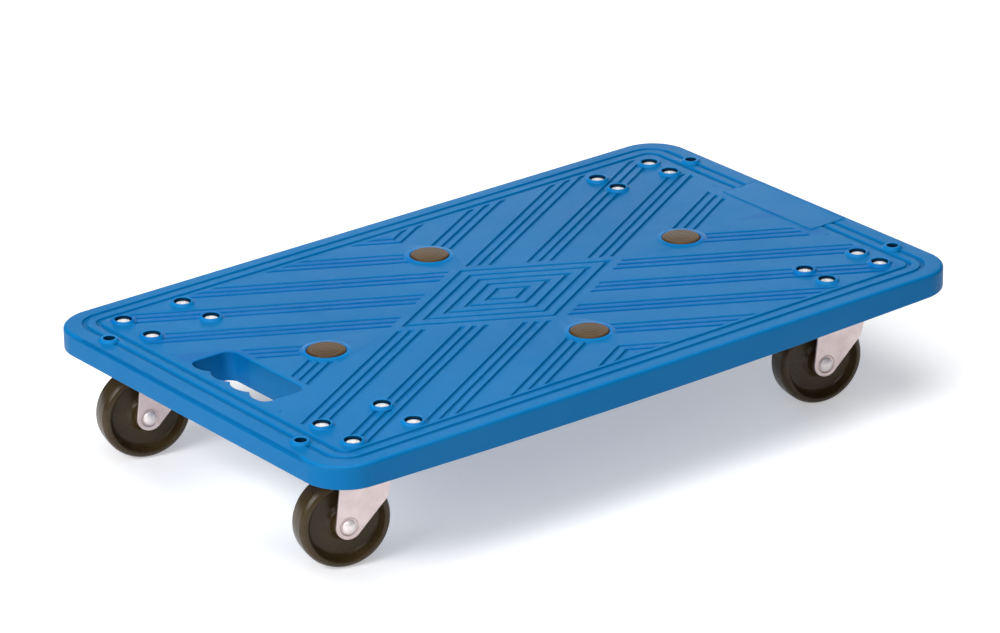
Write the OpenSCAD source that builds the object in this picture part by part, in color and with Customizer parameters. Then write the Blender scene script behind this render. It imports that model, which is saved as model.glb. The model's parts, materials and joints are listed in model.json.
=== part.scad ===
// Flat platform cart: a moulded deck with a hand slot, anti-slip pads and four swivel casters.
// Frame: millimetres, +Z up. The origin is on the floor under the middle of the deck. +X runs along
// the length towards the plain panel, and the hand slot is at the -X end, which is the front.

/* [Deck] */
// Length of the deck along X
deck_l = 632; // [600:1:700]
// Width of the deck along Y
deck_w = 382; // [370:1:440]
// Height of the deck's top face above the floor
deck_top = 112; // [112:1:118]
// Radius of the deck's corners in plan
corner_r = 35; // [30:1:38]
// Radius that rounds the deck's top edge
edge_r = 3; // [2:0.5:4]
// Depth of the skirt below the top face at the deck's ends
skirt_end = 18.5; // [17:0.5:20]
// Depth of the skirt below the top face at mid length
skirt_mid = 23.5; // [20:0.5:26]
// Thickness of the top sheet
sheet_t = 4; // [3.5:0.5:5]
// Thickness of the skirt
skirt_t = 3.5; // [3:0.5:4.5]
// Thickness of the underside ribs
rib_t = 2.5; // [2:0.5:3]
// Depth of the underside ribs below the top face
rib_depth = 15; // [13:0.5:16]

/* [Grooves] */
// Depth of the grooves in the top face
groove_depth = 1.4; // [0.8:0.1:1.8]
// Width of the two grooves round the border
border_groove_w = 4.4; // [3:0.2:5]
// Width of the slanting grooves and the diamond's grooves
band_groove_w = 3.2; // [2:0.2:4]
// Distance from the deck's edge to the outer border groove
border_outer = 14.5; // [12:0.5:16]
// Distance from the deck's edge to the inner border groove
border_inner = 25.5; // [24:0.5:28]
// How much further in the border grooves run at the deck's two ends
border_end_extra = 3; // [0:0.5:4]
// Distance in Y between neighbouring bands of slanting grooves
band_pitch = 50; // [46:1:52]
// Distance in Y between the three grooves of a band
band_step = 9.5; // [8:0.5:11]
// Number of rings in the centre diamond
diamond_rings = 5; // [3:1:5]
// Half height in Y of one ring of the diamond more than the ring inside it
diamond_step = 12; // [9:0.5:12]

/* [Hand slot] */
// Length of the hand slot along Y
slot_l = 100; // [96:1:104]
// Width of the hand slot along X, to the tips of the finger hollows
slot_w = 41; // [38:1:42]
// Distance from the front edge of the deck to the slot
slot_inset = 38; // [36:0.5:39]
// Depth of the wall round the slot below the top face
slot_wall_depth = 25; // [22:0.5:27]

/* [Pads and sockets] */
// Distance in X from the deck's middle to the pads on the long centre line
pad_x = 181; // [176:1:186]
// Distance in Y from the deck's middle to the pads on the short centre line
pad_y = 103; // [100:1:106]
// Diameter of the pads
pad_d = 32; // [30:0.5:34]
// Height that the pads stand above the top face
pad_proud = 2; // [1:0.5:3]
// Distance in X between the corner sockets
socket_x = 598; // [596:1:600]
// Distance in Y between the corner sockets
socket_y = 254; // [250:1:258]
// Diameter of the corner sockets
socket_d = 9.5; // [8:0.5:10]
// Height of the raised rims round the bolt holes and the corner sockets
rim_h = 2; // [1:0.5:2.5]

/* [Casters] */
// Distance in X between the front and rear swivel axes
caster_x = 480; // [478:1:482]
// Distance in Y between the left and right swivel axes
caster_y = 264; // [262:1:266]
// Diameter of the wheels
wheel_d = 75; // [75:0.5:75]
// Width of the wheels' tread
wheel_w = 24; // [22:0.5:24]
// Distance from the swivel axis back to the wheel's axle
trail = 23.5; // [22:0.5:25]
// Swivel angle of the two front casters at rest
front_turn = -15; // [-180:1:180]
// Swivel angle of the two rear casters at rest
rear_turn = -12; // [-180:1:180]
// Distance in X between the bolts of every caster
bolt_x = 57; // [56:0.5:58]
// Distance in Y between the bolts of a front caster
front_bolt_y = 39.5; // [38:0.5:41]
// Distance in Y between the bolts of a rear caster
rear_bolt_y = 27; // [26:0.5:28]

/* [Hidden] */
$fn = 48;
eps = 0.01;

// Names and order of the casters: left is -Y and right is +Y, seen by someone pulling the slot end.
CORNER = ["front_left", "front_right", "rear_left", "rear_right"];
CASTER_NODES = ["top_plate_", "bolts_", "nuts_", "kingpin_", "race_cup_", "swivel_balls_",
                "fork_", "axle_", "axle_nut_", "spacer_tube_", "wheel_"];

deck_blue = [0.02, 0.42, 0.70];
pad_brown = [0.36, 0.25, 0.15];
zinc = [0.80, 0.76, 0.75];
steel = [0.70, 0.70, 0.72];
wheel_brown = [0.22, 0.16, 0.10];

function side(i) = i < 2 ? -1 : 1;
function hand(i) = i % 2 == 0 ? -1 : 1;
function king(i) = [side(i) * caster_x / 2, hand(i) * caster_y / 2, 0];
function turn(i) = i < 2 ? front_turn : rear_turn;
function bolt_y(i) = i < 2 ? front_bolt_y : rear_bolt_y;
SIGNS = [-1, 1];

// ---------------------------------------------------------------- deck, plan shapes
half_l = deck_l / 2;
half_w = deck_w / 2;
mount_z = deck_top - 12;
sheet_z = deck_top - sheet_t;
rib_z = deck_top - rib_depth;
bolt_boss_r = 10;
bolt_rim_r = 8.4;
bolt_hole_r = 7;
socket_rim_r = 6.8;
socket_boss_r = 8.4;
pad_rim_t = 2.6;
pad_rim_h = 0.8;
rim_spread = 1.8;
clear_bolt_r = 10.5;
clear_pad_r = 21.5;
clear_end_y = 71;
clear_corner_y = 108;
// Slope of the slanting grooves, and where they stop
band_angle = 30;
band_edge = 5;
band_end_gap = 9;
diamond_gap = 11;
panel_x = [274, 311];
panel_half = 55;
panel_rise = 0.4;
slot_x = -half_l + slot_inset;
lobe_r = 20;
lobe_pitch = 25.7;
lobe_count = 4;
finger_depth = 5;
slot_corner_r = 9;
slot_wall_t = 3;

module rounded_rect(hx, hy, r) {
    square([2 * hx, 2 * (hy - r)], center = true);
    square([2 * (hx - r), 2 * hy], center = true);
    for (x = SIGNS, y = SIGNS)
        translate([x * (hx - r), y * (hy - r)]) circle(r);
}

// The deck's outline in plan, drawn in from its edge by d, and further by extra at the two ends
module outline(d, extra = 0) {
    rounded_rect(half_l - d - extra, half_w - d, max(corner_r - d, 1));
}

module ring_groove(d, w) {
    difference() {
        outline(d - w / 2, border_end_extra);
        outline(d + w / 2, border_end_extra);
    }
}

// The hand slot in plan, grown outwards by g: a rounded oblong with finger hollows on its outer edge
module slot_shape(g) {
    intersection() {
        translate([slot_x + slot_w / 2, 0])
            rounded_rect(slot_w / 2 + g, slot_l / 2 + g, slot_corner_r + g);
        union() {
            translate([slot_x + finger_depth + lobe_r / 2 - g, -slot_l / 2 - g])
                square([slot_w + 2 * g, slot_l + 2 * g]);
            for (k = [0 : lobe_count - 1])
                translate([slot_x + lobe_r, (k - (lobe_count - 1) / 2) * lobe_pitch])
                    circle(lobe_r + g);
        }
    }
}

module bolt_places(i) {
    for (x = SIGNS, y = SIGNS)
        translate(king(i) + [x * bolt_x / 2, y * bolt_y(i) / 2, 0]) children();
}

module pad_places() {
    for (s = SIGNS) {
        translate([s * pad_x, 0, 0]) children();
        translate([0, s * pad_y, 0]) children();
    }
}

module socket_places() {
    for (x = SIGNS, y = SIGNS)
        translate([x * socket_x / 2, y * socket_y / 2, 0]) children();
}

// ---------------------------------------------------------------- deck, grooves
// One band's grooves in the quadrant of +X, -Y, which falls away from the centre line x = 0
module band_lines(c, first, last) {
    for (k = [first : last])
        translate([0, c + k * band_step])
            rotate(-band_angle)
                translate([-band_groove_w, -band_groove_w / 2])
                    square([2 * half_l, band_groove_w]);
}

module quadrant_bands() {
    for (b = [-2 : 2]) band_lines(b * band_pitch, -1, 1);
    band_lines(-3 * band_pitch, 0, 1);
}

// Where the bands may run in the quadrant of +X, -Y: outside the diamond, inside the border
module quadrant_field() {
    reach = diamond_rings * diamond_step + diamond_gap;
    x_max = half_l - border_inner - border_end_extra - band_end_gap;
    y_max = half_w - border_inner - band_edge;
    polygon([[0, -reach], [reach / tan(band_angle), 0], [x_max, 0], [x_max, -y_max], [0, -y_max]]);
}

module bands() {
    difference() {
        for (x = SIGNS, y = SIGNS)
            scale([x, -y]) intersection() {
                quadrant_bands();
                quadrant_field();
            }
        for (i = [0 : 3]) bolt_places(i) circle(clear_bolt_r);
        pad_places() circle(clear_pad_r);
        square([2 * pad_x, 2 * border_groove_w], center = true);
        translate([-half_l, -clear_end_y]) square([slot_inset + slot_w + 6, 2 * clear_end_y]);
        translate([panel_x[0] - 9, -clear_end_y]) square([half_l, 2 * clear_end_y]);
        for (x = SIGNS, y = SIGNS)
            scale([x, y]) translate([(caster_x + bolt_x) / 2, clear_corner_y]) square([half_l, half_w]);
    }
}

module rhombus(h) {
    w = h / tan(band_angle);
    polygon([[w, 0], [0, h], [-w, 0], [0, -h]]);
}

module diamond() {
    t = band_groove_w / 2 / cos(band_angle);
    for (k = [1 : diamond_rings])
        difference() {
            rhombus(k * diamond_step + t);
            rhombus(k * diamond_step - t);
        }
}

module border_grooves() {
    difference() {
        for (d = [border_outer, border_inner]) ring_groove(d, border_groove_w);
        socket_places() circle(socket_rim_r + rim_spread);
        translate([panel_x[0], -panel_half]) square([half_l, 2 * panel_half]);
    }
}

// ---------------------------------------------------------------- deck, solids
// Block with the deck's outline and its rounded top edge
module rounded_block(bottom) {
    translate([0, 0, bottom]) {
        linear_extrude(deck_top - edge_r - bottom) outline(0);
        linear_extrude(deck_top - bottom) outline(edge_r);
    }
    for (x = SIGNS, y = SIGNS)
        translate([x * (half_l - corner_r), y * (half_w - corner_r), deck_top - edge_r])
            rotate_extrude() translate([corner_r - edge_r, 0]) circle(edge_r);
    for (y = SIGNS)
        translate([0, y * (half_w - edge_r), deck_top - edge_r])
            rotate([0, 90, 0]) cylinder(r = edge_r, h = 2 * (half_l - corner_r), center = true);
    for (x = SIGNS)
        translate([x * (half_l - edge_r), 0, deck_top - edge_r])
            rotate([90, 0, 0]) cylinder(r = edge_r, h = 2 * (half_w - corner_r), center = true);
}

// Everything below the skirt's lower edge, which bows down to mid length
module below_skirt() {
    steps = 24;
    low = deck_top - skirt_mid - 20;
    rise = skirt_mid - skirt_end;
    curve = [for (k = [0 : steps])
        let (u = 2 * k / steps - 1)
        [u * (half_l + 5), deck_top - skirt_mid + rise * u * u]];
    rotate([90, 0, 0])
        linear_extrude(deck_w + 20, center = true)
            polygon(concat([[-half_l - 5, low]], curve, [[half_l + 5, low]]));
}

module shell() {
    difference() {
        rounded_block(deck_top - skirt_mid - 1);
        translate([0, 0, deck_top - skirt_mid - 2])
            linear_extrude(skirt_mid + 2 - sheet_t) outline(skirt_t);
        below_skirt();
    }
}

// Ribs along X, and across it between the casters and through every row of bolts
module ribs() {
    rib_h = rib_depth - sheet_t + 1;
    cross_pitch = 53;
    for (y = [-152, -112, -56, 0, 56, 112, 152])
        translate([-half_l + skirt_t - 1, y - rib_t / 2, rib_z])
            cube([deck_l - 2 * skirt_t + 2, rib_t, rib_h]);
    for (x = concat([for (k = [-3 : 3]) k * cross_pitch],
                    [for (s = SIGNS, t = SIGNS) s * caster_x / 2 + t * bolt_x / 2]))
        translate([x - rib_t / 2, -half_w + skirt_t - 1, rib_z])
            cube([rib_t, deck_w - 2 * skirt_t + 2, rib_h]);
}

// Raised rim on the top face, r at its top and wider at its foot. It starts inside the top sheet.
module rim(r, h) {
    translate([0, 0, deck_top - 1])
        cylinder(r1 = r + rim_spread * (1 + 1 / h), r2 = r, h = h + 1);
}

// Room for a caster's plate and for the head of its kingpin
module caster_bay(i) {
    bay_l = 84;
    bay_w = 66;
    below = 30;
    translate(king(i)) {
        translate([-bay_l / 2, -bay_w / 2, rib_z - below])
            cube([bay_l, bay_w, mount_z - rib_z + below]);
        translate([0, 0, mount_z - 1]) cylinder(r = 12, h = 6);
    }
}

module deck() color(deck_blue) difference() {
    union() {
        shell();
        difference() {
            ribs();
            for (i = [0 : 3]) caster_bay(i);
        }
        for (i = [0 : 3])
            bolt_places(i) {
                translate([0, 0, mount_z]) cylinder(r = bolt_boss_r, h = sheet_z - mount_z + 1);
                rim(bolt_rim_r, rim_h);
            }
        pad_places() {
            translate([0, 0, sheet_z - 2]) cylinder(r = pad_d / 2 + 6, h = 3);
            rim(pad_d / 2 + pad_rim_t, pad_rim_h);
        }
        socket_places() {
            translate([0, 0, rib_z - 1]) cylinder(r = socket_boss_r, h = rib_depth);
            rim(socket_rim_r, rim_h);
        }
        translate([0, 0, deck_top - slot_wall_depth])
            linear_extrude(slot_wall_depth - 1) slot_shape(slot_wall_t);
        translate([panel_x[0], -panel_half, sheet_z])
            cube([panel_x[1] - panel_x[0], 2 * panel_half, sheet_t + panel_rise]);
    }
    translate([0, 0, deck_top - groove_depth]) linear_extrude(groove_depth + 1) bands();
    translate([0, 0, deck_top - groove_depth]) linear_extrude(groove_depth + 1) diamond();
    translate([0, 0, deck_top - groove_depth]) linear_extrude(groove_depth + 1) border_grooves();
    translate([0, 0, deck_top - slot_wall_depth - 1])
        linear_extrude(slot_wall_depth + 2) slot_shape(0);
    pad_places() translate([0, 0, deck_top - 2]) cylinder(r = pad_d / 2 + 0.2, h = 5);
    socket_places() translate([0, 0, rib_z - 2]) cylinder(d = socket_d, h = rib_depth + rim_h + 4);
    for (i = [0 : 3]) bolt_places(i) {
        translate([0, 0, head_seat_z]) cylinder(r = bolt_hole_r, h = 10);
        translate([0, 0, mount_z - 1]) cylinder(r = 3.2, h = 14);
    }
}

module anti_slip_pads() color(pad_brown) {
    r = pad_d / 2;
    h = pad_proud + 2;
    lip = 1.2;
    pad_places() translate([0, 0, deck_top - 2]) {
        cylinder(r = r, h = h - lip);
        cylinder(r = r - lip, h = h);
        translate([0, 0, h - lip]) rotate_extrude() translate([r - lip, 0]) circle(lip);
    }
}

// ---------------------------------------------------------------- caster, fixed half
head_seat_z = deck_top - 2.8;
head_r = 5.6;
head_h = 3.2;
head_dome_r = 16.2;
plate_t = 2.5;
plate_z = mount_z - plate_t;
plate_l = bolt_x + 21;
nut_h = 4.5;
king_r = 5;
crown_top = plate_z - 6;
crown_t = 2.8;
upper_ball_r = 3.175;
upper_row_r = 15;
upper_ball_z = (plate_z + crown_top) / 2;
race_r = upper_ball_r + 0.27;
lower_ball_r = 2.2;
lower_row_r = 10.2;
lower_ball_z = crown_top - crown_t - 0.2 - lower_ball_r;
cup_z = lower_ball_z - lower_ball_r - 0.2;
cup_t = 2.2;
cup_r = 14;
cup_h = 2.4;
ball_count = 12;
pin_head_r = 8.5;
pin_head_h = 2.9;
axle_z = wheel_d / 2;

module race_groove(z) {
    translate([0, 0, z]) rotate_extrude() translate([upper_row_r, 0]) circle(race_r);
}

module top_plate(i) color(zinc) translate(king(i)) {
    difference() {
        translate([0, 0, plate_z])
            linear_extrude(plate_t) rounded_rect(plate_l / 2, (bolt_y(i) + 19) / 2, 6);
        for (x = SIGNS, y = SIGNS)
            translate([x * bolt_x / 2, y * bolt_y(i) / 2, plate_z - 1]) cylinder(r = 3.3, h = plate_t + 2);
        translate([0, 0, plate_z - 1]) cylinder(r = king_r + 0.02, h = plate_t + 2);
        race_groove(upper_ball_z);
    }
}

module bolts(i) color(steel) bolt_places(i) difference() {
    union() {
        translate([0, 0, head_seat_z]) intersection() {
            cylinder(r = head_r, h = head_h);
            translate([0, 0, head_h - head_dome_r]) sphere(r = head_dome_r, $fn = 96);
        }
        translate([0, 0, plate_z - nut_h - 0.5]) cylinder(r = 3, h = head_seat_z - plate_z + nut_h + 1);
    }
    for (a = [0, 90])
        rotate([0, 0, a]) translate([-2.6, -0.6, head_seat_z + 1.6]) cube([5.2, 1.2, 4]);
}

module nuts(i) color(steel) bolt_places(i) translate([0, 0, plate_z - nut_h]) difference() {
    union() {
        cylinder(r = 5.77, h = nut_h, $fn = 6);
        translate([0, 0, nut_h - 1]) cylinder(r = 6.6, h = 1);
    }
    translate([0, 0, -1]) cylinder(r = 3.05, h = nut_h + 2);
}

module kingpin(i) color(zinc) translate(king(i)) {
    translate([0, 0, cup_z - cup_t - eps]) cylinder(r = king_r, h = mount_z + 1 - cup_z + cup_t);
    translate([0, 0, mount_z]) cylinder(r = 8, h = 2.3);
    translate([0, 0, cup_z - cup_t]) intersection() {
        translate([0, 0, -pin_head_h]) cylinder(r = pin_head_r, h = pin_head_h);
        translate([0, 0, 4 * pin_head_h]) sphere(r = 5 * pin_head_h, $fn = 64);
    }
}

module race_cup(i) color(zinc) translate(king(i)) difference() {
    translate([0, 0, cup_z - cup_t]) cylinder(r = cup_r, h = cup_t + cup_h);
    translate([0, 0, cup_z]) cylinder(r = cup_r - 1.2, h = cup_h + 1);
    translate([0, 0, cup_z - cup_t - 1]) cylinder(r = king_r + 0.02, h = cup_t + 2);
}

module ball_row(row_r, ball_r, z) {
    for (k = [0 : ball_count - 1])
        rotate(k * 360 / ball_count) translate([row_r, 0, z]) sphere(r = ball_r);
}

module swivel_balls(i) color(steel) translate(king(i)) {
    ball_row(upper_row_r, upper_ball_r, upper_ball_z);
    ball_row(lower_row_r, lower_ball_r, lower_ball_z);
}

// ---------------------------------------------------------------- caster, swivelling half
leg_t = 2.5;
leg_out = wheel_w / 2 + 5;
leg_in = leg_out - leg_t;
foot_r = 10.8;
bend_r = 5;
axle_r = 4;
tube_r = 6;
dimple_depth = 0.9;
dimple_r = 7.3;
lip_r = 21;
lip_h = 5.2;
hub_half = leg_in - 0.9;
hub_r = 11;
nut_af = 13;

// Puts a piece in the caster's own frame: the swivel axis is Z and the wheel trails along -X
module at_caster(i) {
    translate(king(i)) rotate(turn(i)) children();
}

// Puts a piece that is drawn along Z onto the axle, with +Z turned to +Y
module on_axle(i) {
    at_caster(i) translate([-trail, 0, axle_z]) rotate([-90, 0, 0]) children();
}

// The leg seen from the side: a round foot at the axle, a straight back, and a front edge that
// slants up to a steep part and then out to the crown
module leg_side() {
    back = 180;
    front = -50;
    heel = -trail - 4.5;
    nose = 22;
    nose_h = 5;
    knee = [11.5, 69];
    toe = [8.5, 56.5];
    translate([-trail, axle_z]) circle(foot_r);
    polygon([
        [-trail, axle_z],
        [-trail + foot_r * cos(back), axle_z + foot_r * sin(back)],
        [heel, crown_top],
        [nose, crown_top],
        [nose, crown_top - nose_h],
        knee,
        toe,
        [-trail + foot_r * cos(front), axle_z + foot_r * sin(front)]
    ]);
}

// The channel that the sheet is folded into, seen from behind
module channel() {
    h = 80;
    translate([0, crown_top - h / 2]) difference() {
        rounded_rect(leg_out, h / 2, bend_r);
        translate([0, -crown_t]) rounded_rect(leg_in, h / 2, bend_r - leg_t);
    }
}

module fork(i) color(zinc) at_caster(i) difference() {
    union() {
        intersection() {
            translate([0, 30, 0]) rotate([90, 0, 0]) linear_extrude(60) leg_side();
            rotate([90, 0, 90]) linear_extrude(120, center = true) channel();
        }
        translate([0, 0, crown_top - crown_t]) cylinder(r = lip_r, h = crown_t + lip_h);
    }
    translate([0, 0, crown_top]) cylinder(r = lip_r - 1.6, h = lip_h + 1);
    translate([0, 0, crown_top - crown_t - 1]) cylinder(r = king_r + 0.05, h = crown_t + 2);
    race_groove(upper_ball_z);
    translate([-trail, 0, axle_z]) rotate([90, 0, 0]) {
        cylinder(r = axle_r + 0.05, h = 60, center = true);
        translate([0, 0, leg_out - dimple_depth]) cylinder(r = dimple_r, h = 2);
        translate([0, 0, -leg_out - 2 + dimple_depth]) cylinder(r = dimple_r + 0.5, h = 2);
    }
}

module axle(i) color(zinc) on_axle(i) {
    seat = leg_out - dimple_depth;
    translate([0, 0, -seat - 0.5]) cylinder(r = axle_r, h = 2 * seat + 7.5);
    translate([0, 0, -seat]) intersection() {
        translate([0, 0, -3.1]) cylinder(r = 5.6, h = 3.1);
        translate([0, 0, 4.9]) sphere(r = 8, $fn = 64);
    }
}

module axle_nut(i) color(zinc) on_axle(i) translate([0, 0, leg_out - dimple_depth]) difference() {
    cylinder(r = nut_af / 2 / cos(30), h = 5.5, $fn = 6);
    translate([0, 0, -1]) cylinder(r = axle_r + 0.05, h = 8);
}

module spacer_tube(i) color(steel) on_axle(i) difference() {
    cylinder(r = tube_r, h = 2 * leg_in - 0.1, center = true);
    cylinder(r = axle_r + 0.05, h = 40, center = true);
}

// Half of the wheel's section: X is the radius, and Y runs along the axle from the wheel's middle
module wheel_section() {
    r = wheel_d / 2;
    h = wheel_w / 2;
    e = 5.5;
    square([r - e, h]);
    square([r, h - e]);
    translate([r - e, h - e]) circle(e);
}

module wheel(i) color(wheel_brown) on_axle(i) rotate_extrude($fn = 96) {
    bore = tube_r + 0.06;
    outside = wheel_w;
    dish = [[hub_r + 1.5, outside], [hub_r + 2.5, 5], [27.5, 4], [29.5, 7],
            [31, wheel_w / 2 - 1], [31.6, outside]];
    difference() {
        union() {
            wheel_section();
            mirror([0, 1]) wheel_section();
            translate([0, -hub_half]) square([hub_r, 2 * hub_half]);
        }
        for (s = SIGNS) scale([1, s]) polygon(dish);
        translate([-1, -outside]) square([bore + 1, 2 * outside]);
    }
}

deck();
anti_slip_pads();
for (i = [0 : 3]) {
    top_plate(i);
    bolts(i);
    nuts(i);
    kingpin(i);
    race_cup(i);
    swivel_balls(i);
    fork(i);
    axle(i);
    axle_nut(i);
    spacer_tube(i);
    wheel(i);
}
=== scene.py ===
"""Looks of the flat platform cart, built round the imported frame: deck, pads and swivel casters."""
import json
import math

import bmesh
import bpy
import numpy as np
from mathutils import Matrix, Vector, geometry

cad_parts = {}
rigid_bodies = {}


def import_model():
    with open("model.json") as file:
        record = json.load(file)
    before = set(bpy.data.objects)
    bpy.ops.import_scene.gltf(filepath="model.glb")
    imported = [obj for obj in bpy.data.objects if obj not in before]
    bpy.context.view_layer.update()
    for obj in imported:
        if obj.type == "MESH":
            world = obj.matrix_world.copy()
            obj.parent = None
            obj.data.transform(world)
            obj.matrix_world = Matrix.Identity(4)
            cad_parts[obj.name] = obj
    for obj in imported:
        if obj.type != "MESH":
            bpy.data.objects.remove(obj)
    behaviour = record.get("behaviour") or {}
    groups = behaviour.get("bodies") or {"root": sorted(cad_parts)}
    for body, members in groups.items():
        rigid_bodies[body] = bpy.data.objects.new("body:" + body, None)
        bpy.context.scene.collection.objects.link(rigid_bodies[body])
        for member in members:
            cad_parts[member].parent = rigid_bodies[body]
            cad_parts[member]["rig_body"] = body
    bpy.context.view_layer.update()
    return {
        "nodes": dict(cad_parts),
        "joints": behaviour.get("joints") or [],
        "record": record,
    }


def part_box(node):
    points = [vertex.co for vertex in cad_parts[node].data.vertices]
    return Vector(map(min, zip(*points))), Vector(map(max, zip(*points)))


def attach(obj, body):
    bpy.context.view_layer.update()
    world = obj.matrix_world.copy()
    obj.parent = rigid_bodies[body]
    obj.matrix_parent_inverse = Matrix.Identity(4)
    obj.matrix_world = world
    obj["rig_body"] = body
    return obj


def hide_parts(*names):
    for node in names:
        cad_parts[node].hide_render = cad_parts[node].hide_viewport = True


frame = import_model()

MM = 0.001
PAD_PROUD = 2.0 * MM  # how far the pads stand above the deck's flat top
SHARP = math.radians(35)  # edges that turn by more than this are rounded
JOIN = 2e-6  # corners closer than this are one corner, in metres
CORNERS = ("front_left", "front_right", "rear_left", "rear_right")
JOINTS = {j["name"]: j for j in frame["joints"]}
BODY_OF = {n: o["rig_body"] for n, o in frame["nodes"].items()}
SCENE = bpy.context.scene


# ---------------------------------------------------------------- node helpers
def new_material(name):
    """A material with an empty Principled shader. Returns (material, node maker, linker, shader)."""
    material = bpy.data.materials.new(name)
    material.use_nodes = True
    tree = material.node_tree
    shader = tree.nodes["Principled BSDF"]

    def make(kind, **settings):
        node = tree.nodes.new(kind)
        for key, value in settings.items():
            if key in node.inputs:
                node.inputs[key].default_value = value
            else:
                setattr(node, key, value)
        return node

    return material, make, tree.links.new, shader


def ramp(make, stops):
    """A colour ramp with the given (position, colour) stops. A colour may be one grey number."""
    node = make("ShaderNodeValToRGB")
    band = node.color_ramp
    while len(band.elements) < len(stops):
        band.elements.new(0.5)
    for element, (place, colour) in zip(band.elements, stops):
        element.position = place
        grey = isinstance(colour, (int, float))
        element.color = (colour, colour, colour, 1) if grey else (*colour, 1)
    return node


def noise(make, link, where, scale, detail=2.0, rough=0.5, distortion=0.0):
    node = make("ShaderNodeTexNoise", Scale=scale, Detail=detail, Roughness=rough, Distortion=distortion)
    link(where, node.inputs["Vector"])
    return node.outputs["Fac"]


def bump_chain(make, link, layers):
    """Bump nodes stacked on each other: layers of (height socket, strength, distance in metres)."""
    last = None
    for height, strength, distance in layers:
        node = make("ShaderNodeBump", Strength=strength, Distance=distance)
        link(height, node.inputs["Height"])
        if last:
            link(last, node.inputs["Normal"])
        last = node.outputs["Normal"]
    return last


def object_coords(make):
    return make("ShaderNodeTexCoord").outputs["Object"]


def compute(make, link, operation, *values):
    """One maths node. A value is a socket or a number."""
    node = make("ShaderNodeMath", operation=operation)
    for socket, value in zip(node.inputs, values):
        if isinstance(value, (int, float)):
            socket.default_value = value
        else:
            link(value, socket)
    return node.outputs[0]


def tinted(make, link, colour, tint, amount=1.0):
    """The colour socket multiplied by a tint. Tint and amount are each a socket or a constant."""
    node = make("ShaderNodeMix", data_type="RGBA", blend_type="MULTIPLY")
    link(colour, node.inputs["A"])
    for name, value in (("Factor", amount), ("B", tint)):
        if isinstance(value, (float, tuple)):
            node.inputs[name].default_value = value
        else:
            link(value, node.inputs[name])
    return node.outputs["Result"]


def split(make, link, where):
    """The x, y and z sockets of a vector socket."""
    parts = make("ShaderNodeSeparateXYZ")
    link(where, parts.inputs["Vector"])
    return parts.outputs


def share_of_range(make, link, value, low, high):
    """A socket that goes from 0 to 1 while the value goes from low to high."""
    level = make("ShaderNodeMapRange")
    link(value, level.inputs["Value"])
    level.inputs["From Min"].default_value = low
    level.inputs["From Max"].default_value = high
    return level.outputs["Result"]


def hole_mask(make, link, x, y, spots):
    """1 near the axes of vertical holes, and 0 elsewhere. spots: (|x|, |y|, radius, side), in metres."""
    def maths(operation, *values):
        return compute(make, link, operation, *values)

    across, along = maths("ABSOLUTE", x), maths("ABSOLUTE", y)
    total = None
    for px, py, radius, side in spots:
        dx = maths("SUBTRACT", across, px)
        dy = maths("SUBTRACT", along, py)
        squares = maths("ADD", maths("MULTIPLY", dx, dx), maths("MULTIPLY", dy, dy))
        inside = maths("LESS_THAN", squares, radius * radius)
        if side:
            inside = maths("MULTIPLY", inside, maths("GREATER_THAN", maths("MULTIPLY", x, side), 0.0))
        total = inside if total is None else maths("MAXIMUM", total, inside)
    return total


def band_mask(make, link, x, y):
    """1 on the slanting bands of the two quadrants where x and y have opposite signs, and 0 elsewhere."""
    slope, pitch, half_band = math.tan(math.radians(30)), 50 * MM, 11.2 * MM
    reach, x_end, y_end = 71 * MM, 279 * MM, 160 * MM

    def maths(operation, *values):
        return compute(make, link, operation, *values)

    across, along = maths("ABSOLUTE", x), maths("ABSOLUTE", y)
    run = maths("MULTIPLY", across, slope)
    place = maths("WRAP", maths("SUBTRACT", run, along), pitch / 2, -pitch / 2)
    mask = maths("LESS_THAN", maths("ABSOLUTE", place), half_band)
    for test in (maths("GREATER_THAN", maths("ADD", run, along), reach),
                 maths("LESS_THAN", across, x_end),
                 maths("LESS_THAN", along, y_end),
                 maths("LESS_THAN", maths("MULTIPLY", x, y), 0.0)):
        mask = maths("MULTIPLY", mask, test)
    return mask


def deck_spots():
    """Where the deck's bolt holes and corner sockets are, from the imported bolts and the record."""
    head, bolt_hole, socket = 5.6 * MM, 7.3 * MM, 5.1 * MM
    spots = []
    for corner, side in (("front_left", -1.0), ("rear_left", 1.0)):
        low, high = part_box("bolts_" + corner)
        for px in (low.x + head, high.x - head):
            for py in (low.y + head, high.y - head):
                spots.append((abs(px), abs(py), bolt_hole, side))
    dims = next(m for m in frame["record"]["mounts"] if m["name"] == "corner_sockets")["dims"]
    spots.append((dims["spacing_x_mm"] / 2 * MM, dims["spacing_y_mm"] / 2 * MM, socket, 0))
    return spots


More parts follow.
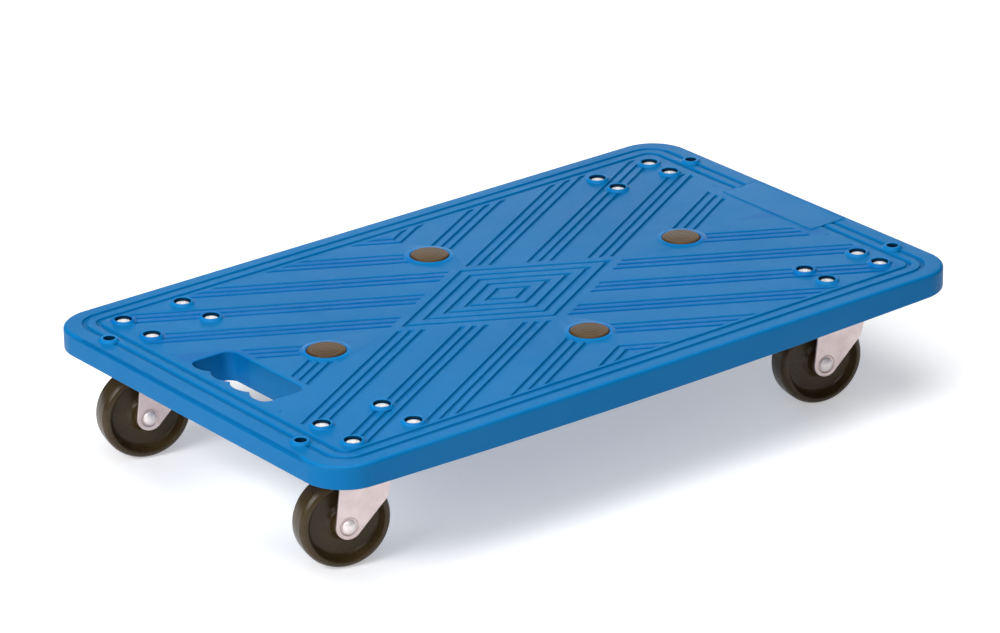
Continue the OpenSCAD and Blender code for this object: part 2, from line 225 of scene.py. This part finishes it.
# ---------------------------------------------------------------- materials
def deck_plastic():
    material, make, link, shader = new_material("deck_plastic")
    where = object_coords(make)
    cloud = noise(make, link, where, 7.0, 3.0, 0.55)
    tint = ramp(make, [(0.30, (0.0008, 0.188, 0.500)), (0.52, (0.0024, 0.203, 0.530)),
                       (0.74, (0.0080, 0.214, 0.545))])
    link(cloud, tint.inputs["Fac"])
    grains = ramp(make, [(0.35, 0.55), (0.65, 1.0)])
    link(noise(make, link, where, 900.0, 3.0, 0.6), grains.inputs["Fac"])
    grainy = tinted(make, link, tint.outputs["Color"], grains.outputs["Color"], 0.10)
    x, y, z = split(make, link, where)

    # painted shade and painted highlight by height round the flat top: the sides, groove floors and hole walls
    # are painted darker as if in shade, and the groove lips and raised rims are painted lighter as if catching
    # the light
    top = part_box("anti_slip_pads")[1].z - PAD_PROUD
    painted_light_by_height = ramp(make, [(0.0, 0.63), (0.08, 0.63), (0.14, 0.57), (0.20, 0.59), (0.38, 0.74), (0.45, 0.86),
                        (0.495, 0.70), (0.58, 0.70), (0.61, 0.74), (0.68, 0.84), (0.80, 0.74), (0.92, 0.84)])
    link(share_of_range(make, link, z, top - 2.0 * MM, top + 2.0 * MM), painted_light_by_height.inputs["Fac"])
    # painted shade: the walls inside the bolt holes and corner sockets, below the rims, are painted dark navy
    holes = hole_mask(make, link, x, y, deck_spots())
    low_enough = compute(make, link, "LESS_THAN", z, top + 1.5 * MM)
    painted_hole_shade = compute(make, link, "MULTIPLY", compute(make, link, "MULTIPLY", holes, low_enough), 0.86)
    dark = compute(make, link, "SUBTRACT", 1.0, painted_hole_shade)

    # painted reflection: the slanting bands get a bluer tint with less red, standing in for the faint whitish
    # sheen that the flats show and the grooved bands lack
    bands = compute(make, link, "MULTIPLY", band_mask(make, link, x, y), 0.9)
    bands_without_sheen = tinted(make, link, grainy, (0.1, 0.87, 0.99, 1), bands)
    shaded = tinted(make, link, bands_without_sheen, painted_light_by_height.outputs["Color"])
    link(tinted(make, link, shaded, dark), shader.inputs["Base Color"])

    wear = noise(make, link, where, 38.0, 4.0, 0.6, 0.4)
    gloss = ramp(make, [(0.30, 0.36), (0.70, 0.48)])
    link(wear, gloss.inputs["Fac"])
    link(gloss.outputs["Color"], shader.inputs["Roughness"])
    grain = noise(make, link, where, 1400.0, 2.0, 0.5)
    wave = noise(make, link, where, 22.0, 1.0, 0.5)
    link(bump_chain(make, link, [(wave, 0.25, 0.0006), (grain, 0.16, 0.00012)]), shader.inputs["Normal"])
    shader.inputs["Specular IOR Level"].default_value = 0.07
    return material


def pad_rubber():
    material, make, link, shader = new_material("pad_rubber")
    where = object_coords(make)
    cloud = noise(make, link, where, 55.0, 4.0, 0.6, 0.3)
    tint = ramp(make, [(0.30, (0.060, 0.033, 0.012)), (0.70, (0.090, 0.052, 0.019))])
    link(cloud, tint.inputs["Fac"])
    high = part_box("anti_slip_pads")[1].z
    # painted shade: each pad's side wall, low down, is painted darker, fading out towards the rounded rim
    painted_wall_shade = ramp(make, [(0.35, 0.20), (0.72, 1.0)])
    height = split(make, link, where)[2]
    link(share_of_range(make, link, height, high - 2.5 * MM, high), painted_wall_shade.inputs["Fac"])
    link(tinted(make, link, tint.outputs["Color"], painted_wall_shade.outputs["Color"]), shader.inputs["Base Color"])
    gloss = ramp(make, [(0.3, 0.34), (0.7, 0.46)])
    link(cloud, gloss.inputs["Fac"])
    link(gloss.outputs["Color"], shader.inputs["Roughness"])
    grain = noise(make, link, where, 1100.0, 3.0, 0.6)
    link(bump_chain(make, link, [(grain, 0.35, 0.00015)]), shader.inputs["Normal"])
    shader.inputs["Specular IOR Level"].default_value = 0.16
    return material


def wheel_plastic():
    material, make, link, shader = new_material("wheel_plastic")
    where = object_coords(make)
    cloud = noise(make, link, where, 42.0, 4.0, 0.6, 0.5)
    tint = ramp(make, [(0.28, (0.034, 0.021, 0.0075)), (0.72, (0.050, 0.032, 0.012))])
    link(cloud, tint.inputs["Fac"])
    link(tint.outputs["Color"], shader.inputs["Base Color"])
    gloss = ramp(make, [(0.3, 0.24), (0.7, 0.34)])
    link(cloud, gloss.inputs["Fac"])
    link(gloss.outputs["Color"], shader.inputs["Roughness"])
    grain = noise(make, link, where, 700.0, 3.0, 0.55)
    wave = noise(make, link, where, 60.0, 1.0, 0.5)
    link(bump_chain(make, link, [(wave, 0.05, 0.0003), (grain, 0.10, 0.00008)]), shader.inputs["Normal"])
    shader.inputs["Specular IOR Level"].default_value = 0.24
    return material


def zinc(name, dark, light, rough_low, rough_high, streak, metal):
    """Plated or bare steel: slow cloudiness, fine grain, faint rolling streaks, and a darker tint towards the
    bottom.
    """
    material, make, link, shader = new_material(name)
    where = object_coords(make)
    cloud = noise(make, link, where, 48.0, 4.0, 0.62, 0.6)
    tint = ramp(make, [(0.28, dark), (0.72, light)])
    link(cloud, tint.inputs["Fac"])
    # darker towards the bottom: the colour is dimmed below 0.10 m above the floor
    darker_low_down = ramp(make, [(0.0, (0.80, 0.73, 0.72)), (0.06, (0.86, 0.80, 0.79)), (0.10, 1.0)])
    link(split(make, link, where)[2], darker_low_down.inputs["Fac"])
    link(tinted(make, link, tint.outputs["Color"], darker_low_down.outputs["Color"]), shader.inputs["Base Color"])
    gloss = ramp(make, [(0.25, rough_low), (0.75, rough_high)])
    link(noise(make, link, where, 120.0, 3.0, 0.6), gloss.inputs["Fac"])
    link(gloss.outputs["Color"], shader.inputs["Roughness"])
    stretch = make("ShaderNodeMapping")
    stretch.inputs["Scale"].default_value = (1.0, 1.0, 14.0)
    link(where, stretch.inputs["Vector"])
    lines = noise(make, link, stretch.outputs["Vector"], 160.0, 2.0, 0.5)
    grain = noise(make, link, where, 1500.0, 2.0, 0.5)
    link(bump_chain(make, link, [(lines, streak, 0.00012), (grain, 0.12, 0.00006)]), shader.inputs["Normal"])
    shader.inputs["Metallic"].default_value = metal
    return material


MATERIAL = {
    "deck_plastic": deck_plastic(),
    "pad_rubber": pad_rubber(),
    "wheel_plastic": wheel_plastic(),
    "zinc_sheet": zinc("zinc_sheet", (0.64, 0.56, 0.56), (0.80, 0.73, 0.73), 0.38, 0.52, 0.22, 0.8),
    "zinc_bolts": zinc("zinc_bolts", (0.86, 0.85, 0.85), (0.95, 0.94, 0.94), 0.32, 0.44, 0.10, 0.35),
    "bearing_steel": zinc("bearing_steel", (0.52, 0.52, 0.54), (0.66, 0.66, 0.68), 0.10, 0.18, 0.04, 1.0),
}
SLOT_OF = {s["node"]: s["material_slot"] for s in frame["record"]["subparts"]}


# ---------------------------------------------------------------- mesh helpers
def placed(name, data):
    """A new object in the scene."""
    thing = bpy.data.objects.new(name, data)
    SCENE.collection.objects.link(thing)
    return thing


def mesh_from(bm, name):
    """A mesh made from bm, which is freed."""
    mesh = bpy.data.meshes.new(name)
    bm.to_mesh(mesh)
    bm.free()
    return mesh


def add_piece(name, mesh, nodes, body, slot):
    """A finished piece from a mesh in the row frame, which stands for those CAD nodes."""
    piece = placed(name, mesh)
    mesh.materials.clear()
    mesh.materials.append(MATERIAL[slot])
    for polygon in mesh.polygons:
        polygon.use_smooth = True
    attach(piece, body)
    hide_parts(*nodes)
    return piece


def whole_mesh(node):
    """The CAD node's mesh with its shared corners joined and each flat face in one piece."""
    bm = bmesh.new()
    bm.from_mesh(frame["nodes"][node].data)
    bmesh.ops.remove_doubles(bm, verts=bm.verts, dist=JOIN)
    bmesh.ops.dissolve_limit(bm, angle_limit=math.radians(0.4), use_dissolve_boundaries=False,
                             verts=bm.verts, edges=bm.edges)
    return bm


def bevelled(bm, width_of, widest, segments):
    """Rounds the sharp edges of bm. width_of(edge) gives each edge's width in mm, or 0."""
    weights = bm.edges.layers.float.new("bevel_weight_edge")
    for edge in bm.edges:
        if edge.is_manifold and edge.calc_face_angle() > SHARP:
            edge[weights] = width_of(edge) / widest
    mesh = mesh_from(bm, "bevel_source")
    holder = placed("bevel_source", mesh)
    modifier = holder.modifiers.new("round", "BEVEL")
    modifier.limit_method = "WEIGHT"
    modifier.width = widest * MM
    modifier.segments = segments
    modifier.use_clamp_overlap = False
    modifier.loop_slide = False
    modifier.miter_outer = "MITER_SHARP"
    done = holder.evaluated_get(bpy.context.evaluated_depsgraph_get())
    rounded = bmesh.new()
    rounded.from_mesh(done.data)
    bpy.data.objects.remove(holder)
    bpy.data.meshes.remove(mesh)
    return rounded


def flat_patches(bm):
    """Groups of faces that lie in one plane, leaving out a group that is one triangle or quad."""
    groups = {}
    for face in bm.faces:
        n = face.normal
        key = (round(n.x, 3), round(n.y, 3), round(n.z, 3), round(n.dot(face.calc_center_median()) / MM, 2))
        groups.setdefault(key, []).append(face)
    return [g for g in groups.values() if len(g) > 1 or len(g[0].verts) > 4]


def inside_outline(points, starts, ends):
    """Which points lie inside the outline made of these edges, by counting crossings."""
    batch = 2000
    result = np.zeros(len(points), bool)
    for k in range(0, len(points), batch):
        p = points[k:k + batch]
        spans = (starts[None, :, 1] > p[:, None, 1]) != (ends[None, :, 1] > p[:, None, 1])
        with np.errstate(divide="ignore", invalid="ignore"):
            slope = (ends - starts)[None, :, 0] / (ends - starts)[None, :, 1]
            x = starts[None, :, 0] + (p[:, None, 1] - starts[None, :, 1]) * slope
        result[k:k + batch] = (spans & (x > p[:, None, 0])).sum(1) % 2 == 1
    return result


def refill_flats(bm):
    """Fills each flat patch again with well-shaped triangles between its own edges."""
    for faces in flat_patches(bm):
        normal = max(faces, key=lambda f: f.calc_area()).normal.copy()
        across = normal.orthogonal().normalized()
        up = normal.cross(across)
        members = set(faces)
        edges = [e for e in dict.fromkeys(e for f in faces for e in f.edges)
                 if sum(f in members for f in e.link_faces) == 1]
        verts = list(dict.fromkeys(v for e in edges for v in e.verts))
        index = {v: i for i, v in enumerate(verts)}
        flat = [Vector((v.co.dot(across), v.co.dot(up))) for v in verts]
        lines = [(index[e.verts[0]], index[e.verts[1]]) for e in edges]
        if len(lines) < 3:
            continue
        height = sum(v.co.dot(normal) for v in verts) / len(verts)
        points, _, triangles, sources, _, _ = geometry.delaunay_2d_cdt(flat, lines, [], 0, 1e-8, True)
        if not triangles:
            continue
        where = np.array([[p.x, p.y] for p in points])
        corners = np.array([list(t) for t in triangles])
        ends = np.array([[[flat[a].x, flat[a].y], [flat[b].x, flat[b].y]] for a, b in lines])
        keep = inside_outline(where[corners].mean(1), ends[:, 0], ends[:, 1])
        for face in faces:
            bm.faces.remove(face)
        made = [verts[s[0]] if s else bm.verts.new(across * p.x + up * p.y + normal * height)
                for p, s in zip(points, sources)]
        for triangle, kept in zip(corners, keep):
            trio = [made[i] for i in triangle]
            if kept and len(set(trio)) == 3:
                turned = (trio[1].co - trio[0].co).cross(trio[2].co - trio[0].co)
                if turned.dot(normal) < 0:
                    trio.reverse()
                if not bm.faces.get(trio):
                    bm.faces.new(trio)
    bmesh.ops.delete(bm, geom=[e for e in bm.edges if not e.link_faces], context="EDGES")
    bmesh.ops.delete(bm, geom=[v for v in bm.verts if not v.link_faces], context="VERTS")
    bm.normal_update()


def finished_copy(node, name, width_of, widest, segments=2):
    """The CAD node with its edges rounded, as a piece that stands for it."""
    bm = bevelled(whole_mesh(node), width_of, widest, segments)
    refill_flats(bm)
    piece = add_piece(name, mesh_from(bm, name), [node], BODY_OF[node], SLOT_OF[node])
    shading = piece.modifiers.new("shading", "WEIGHTED_NORMAL")
    shading.weight = 60


def middle(edge):
    return (edge.verts[0].co + edge.verts[1].co) / 2


def rounded_path(corners):
    """A smooth profile through corners of (x, y, radius), each corner turned by an arc."""
    path = []
    count = len(corners)
    for i, (x, y, radius) in enumerate(corners):
        here = Vector((x, y))
        if radius == 0 or i in (0, count - 1):
            path.append(here)
            continue
        before = Vector(corners[i - 1][:2]) - here
        after = Vector(corners[i + 1][:2]) - here
        half = before.angle(after) / 2
        reach = min(radius / math.tan(half), 0.49 * before.length, 0.49 * after.length)
        turn = reach * math.tan(half)
        centre = here + (before.normalized() + after.normalized()).normalized() * (turn / math.sin(half))
        start = here + before.normalized() * reach - centre
        sweep = start.angle_signed(here + after.normalized() * reach - centre)
        steps = max(3, round(abs(math.degrees(sweep)) / 12))
        for k in range(steps + 1):
            path.append(centre + Matrix.Rotation(-sweep * k / steps, 2) @ start)
    return path


def lathe(name, path, steps, place):
    """A closed ring turned round local Z from a closed profile of (radius, height) in mm."""
    bm = bmesh.new()
    rings = []
    for k in range(steps):
        turn = 2 * math.pi * k / steps
        rings.append([bm.verts.new(place @ (Vector((p.x * math.cos(turn), p.x * math.sin(turn), p.y)) * MM))
                      for p in path])
    count = len(path)
    for k in range(steps):
        a, b = rings[k], rings[(k + 1) % steps]
        for i in range(count):
            bm.faces.new((a[i], b[i], b[(i + 1) % count], a[(i + 1) % count]))
    bmesh.ops.recalc_face_normals(bm, faces=bm.faces)
    return mesh_from(bm, name)


# ---------------------------------------------------------------- deck
def make_deck():
    """The deck with its edges rounded, each by an amount that depends on where the edge is."""
    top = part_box("anti_slip_pads")[1].z - PAD_PROUD
    floor = top - 1.4 * MM
    near = 0.03 * MM
    slot = next(o for o in frame["record"]["physics"]["openings"] if o["name"] == "hand_slot")["box_m"]
    margin = 9 * MM

    def in_slot(p):
        return all(slot[0][i] - margin < p[i] < slot[1][i] + margin for i in (0, 1))

    def width_of(edge):
        a, b = sorted(v.co.z for v in edge.verts)
        if abs(a - top) < near and abs(b - top) < near:  # in the flat top
            return 1.0 if in_slot(middle(edge)) else 0.6
        if a > top + 0.6 * MM:  # upper edges of the raised rims
            return 0.5
        if a > top - 0.1 * MM:  # the other raised edges
            return 0.25
        if abs(a - floor) < near and abs(b - floor) < near:  # groove floors
            return 0.55
        if b < top - 17.5 * MM:  # below the skirt's shallow ends
            return 0.9
        return 0.35

    finished_copy("deck", "deck_moulding", width_of, 2.0, 3)


make_deck()


# ---------------------------------------------------------------- pads
def make_pads():
    """Four rubber discs with a rounded rim, a faint crown and two shallow moulded rings."""
    low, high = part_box("anti_slip_pads")
    whole = bmesh.new()
    whole.from_mesh(frame["nodes"]["anti_slip_pads"].data)
    bmesh.ops.remove_doubles(whole, verts=whole.verts, dist=JOIN)
    centres = []
    left = set(whole.verts)
    while left:
        stack = [left.pop()]
        island = list(stack)
        while stack:
            for edge in stack.pop().link_edges:
                for v in edge.verts:
                    if v in left:
                        left.discard(v)
                        stack.append(v)
                        island.append(v)
        box = [(min(v.co[i] for v in island), max(v.co[i] for v in island)) for i in (0, 1)]
        centres.append(Vector(((box[0][0] + box[0][1]) / 2, (box[1][0] + box[1][1]) / 2, 0)))
        radius = (box[0][1] - box[0][0]) / 2 / MM
    whole.free()
    height = (high.z - low.z) / MM
    bm = bmesh.new()
    rim, crown, chamfer = 2.2, 0.4, 0.3
    ring_depth, ring_width, ring_radii = 0.16, 0.45, (8.0, 11.5)
    rim_steps, face_steps, steps = 7, 30, 96
    profile = [Vector((radius - chamfer, 0)), Vector((radius, chamfer)), Vector((radius, height - crown - rim))]
    for k in range(1, rim_steps + 1):
        turn = math.pi / 2 * k / rim_steps
        profile.append(Vector((radius - rim + rim * math.cos(turn),
                               height - crown - rim + rim * math.sin(turn))))
    for k in range(1, face_steps):
        r = (radius - rim) * (1 - k / face_steps)
        ring = sum(ring_depth * math.exp(-((r - c) / ring_width) ** 2) for c in ring_radii)
        profile.append(Vector((r, height - crown + crown * (1 - (r / (radius - rim)) ** 2) - ring)))
    for centre in centres:
        rings = []
        for p in profile:
            rings.append([bm.verts.new(centre + Vector((p.x * math.cos(2 * math.pi * k / steps) * MM,
                                                       p.x * math.sin(2 * math.pi * k / steps) * MM,
                                                       low.z + p.y * MM))) for k in range(steps)])
        for a, b in zip(rings, rings[1:]):
            for k in range(steps):
                bm.faces.new((a[k], a[(k + 1) % steps], b[(k + 1) % steps], b[k]))
        bm.faces.new(list(reversed(rings[0])))
        bm.faces.new(rings[-1])
    mesh = mesh_from(bm, "rubber_pads")
    add_piece("rubber_pads", mesh, ["anti_slip_pads"], BODY_OF["anti_slip_pads"], "pad_rubber")


make_pads()


# ---------------------------------------------------------------- wheels
def make_wheel(corner):
    """A moulded wheel: rounded tread with a faint parting line, a dished web and a hub."""
    node = "wheel_" + corner
    joint = JOINTS[corner + "_roll"]
    axis = Vector(joint["axis"]).normalized()
    place = Matrix.Translation(Vector(joint["pos_m"])) @ axis.to_track_quat("Z", "Y").to_matrix().to_4x4()
    low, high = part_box(node)
    r = (high.z - low.z) / 2 / MM
    half, hub, bore = 12.0, 13.6, 6.06
    side = [(r - 0.16, 3.4, 8), (r - 0.3, half - 4.6, 3), (r - 2.2, half - 1.2, 3), (r - 5.2, half, 2),
            (r - 6.2, half - 0.5, 0.5), (r - 7.4, half - 3.4, 1.4), (r - 8.8, 5.6, 2.2), (27.0, 4.1, 2.5),
            (15.2, 4.7, 2.5), (11.8, 7.4, 2.0), (11.0, hub - 0.2, 0.8), (8.6, hub, 0.6),
            (bore + 0.7, hub - 0.1, 0.4)]
    outline = [(r, 0.18, 0)] + side + [(bore, hub - 0.8, 0)]
    outer = rounded_path(outline)
    inner = [Vector((p.x, -p.y)) for p in reversed(outer)]
    name = node + "_moulded"
    add_piece(name, lathe(name, outer + inner, 144, place), [node], BODY_OF[node], "wheel_plastic")


for corner in CORNERS:
    make_wheel(corner)


# ---------------------------------------------------------------- steel parts
def even(width):
    return lambda edge: width


# each steel part's edge rounding in mm, and the segments it takes
STEEL = {"top_plate": (0.5, 2), "bolts": (0.22, 2), "nuts": (0.3, 2), "kingpin": (0.4, 2), "race_cup": (0.4, 2),
         "fork": (0.7, 3), "axle": (0.35, 2), "axle_nut": (0.4, 2)}
for kind, (width, segments) in STEEL.items():
    for corner in CORNERS:
        node = f"{kind}_{corner}"
        finished_copy(node, node + "_finished", even(width), width, segments)

for node, obj in frame["nodes"].items():
    if not obj.hide_render:
        obj.data.materials.clear()
        obj.data.materials.append(MATERIAL[SLOT_OF[node]])


# ---------------------------------------------------------------- floor, light and camera
def floor_material():
    material, make, link, shader = new_material("studio_floor")
    where = object_coords(make)
    tint = ramp(make, [(0.3, (0.86, 0.86, 0.87)), (0.7, (0.88, 0.88, 0.885))])
    link(noise(make, link, where, 1.5, 2.0, 0.5), tint.inputs["Fac"])
    dimmer = ramp(make, [(0.0, 0.74)])
    link(tinted(make, link, tint.outputs["Color"], dimmer.outputs["Color"]), shader.inputs["Base Color"])
    link(tint.outputs["Color"], shader.inputs["Emission Color"])
    shader.inputs["Emission Strength"].default_value = 0.44
    shader.inputs["Roughness"].default_value = 0.85
    shader.inputs["Specular IOR Level"].default_value = 0.2
    return material


def make_floor():
    bm = bmesh.new()
    bmesh.ops.create_grid(bm, x_segments=8, y_segments=8, size=12.0)
    mesh = mesh_from(bm, "studio_floor")
    mesh.materials.append(floor_material())
    placed("studio_floor", mesh)


def area_light(name, place, aim, size, watts):
    light = bpy.data.lights.new(name, "AREA")
    light.shape = "RECTANGLE"
    light.size, light.size_y = size
    light.energy = watts
    lamp = placed(name, light)
    lamp.location = place
    lamp.rotation_euler = (Vector(aim) - Vector(place)).to_track_quat("-Z", "Y").to_euler()


def make_camera():
    camera = bpy.data.cameras.new("camera")
    camera.sensor_width = 36.0
    camera.lens = 186.3
    camera.clip_end = 50
    holder = placed("camera", camera)
    place = Vector((-2.35644, -3.00832, 1.70819))
    aim = Vector((-0.035156, -0.034027, 0.112))
    roll = math.radians(-0.8806)
    turn = (aim - place).to_track_quat("-Z", "Y").to_matrix() @ Matrix.Rotation(roll, 3, "Z")
    holder.matrix_world = Matrix.Translation(place) @ turn.to_4x4()
    SCENE.camera = holder


def make_world():
    world = bpy.data.worlds.new("studio")
    world.use_nodes = True
    sky = world.node_tree.nodes["Background"]
    sky.inputs["Color"].default_value = (1.0, 1.0, 1.0, 1)
    sky.inputs["Strength"].default_value = 0.09
    SCENE.world = world


make_floor()
make_world()
make_camera()
CENTRE = (0, 0, 0.1)
area_light("side", (-2.6, -0.3, 1.7), CENTRE, (1.8, 1.4), 74)
area_light("front", (-1.5, -2.4, 1.9), CENTRE, (2.0, 1.4), 20)
area_light("overhead", (-0.3, -0.2, 3.0), CENTRE, (2.4, 2.4), 78)
area_light("back_sheen", (1.25, 1.5, 0.42), CENTRE, (1.6, 0.3), 7.0)
SCENE.view_settings.view_transform = "Standard"
SCENE.view_settings.look = "None"

bpy.context.view_layer.update()
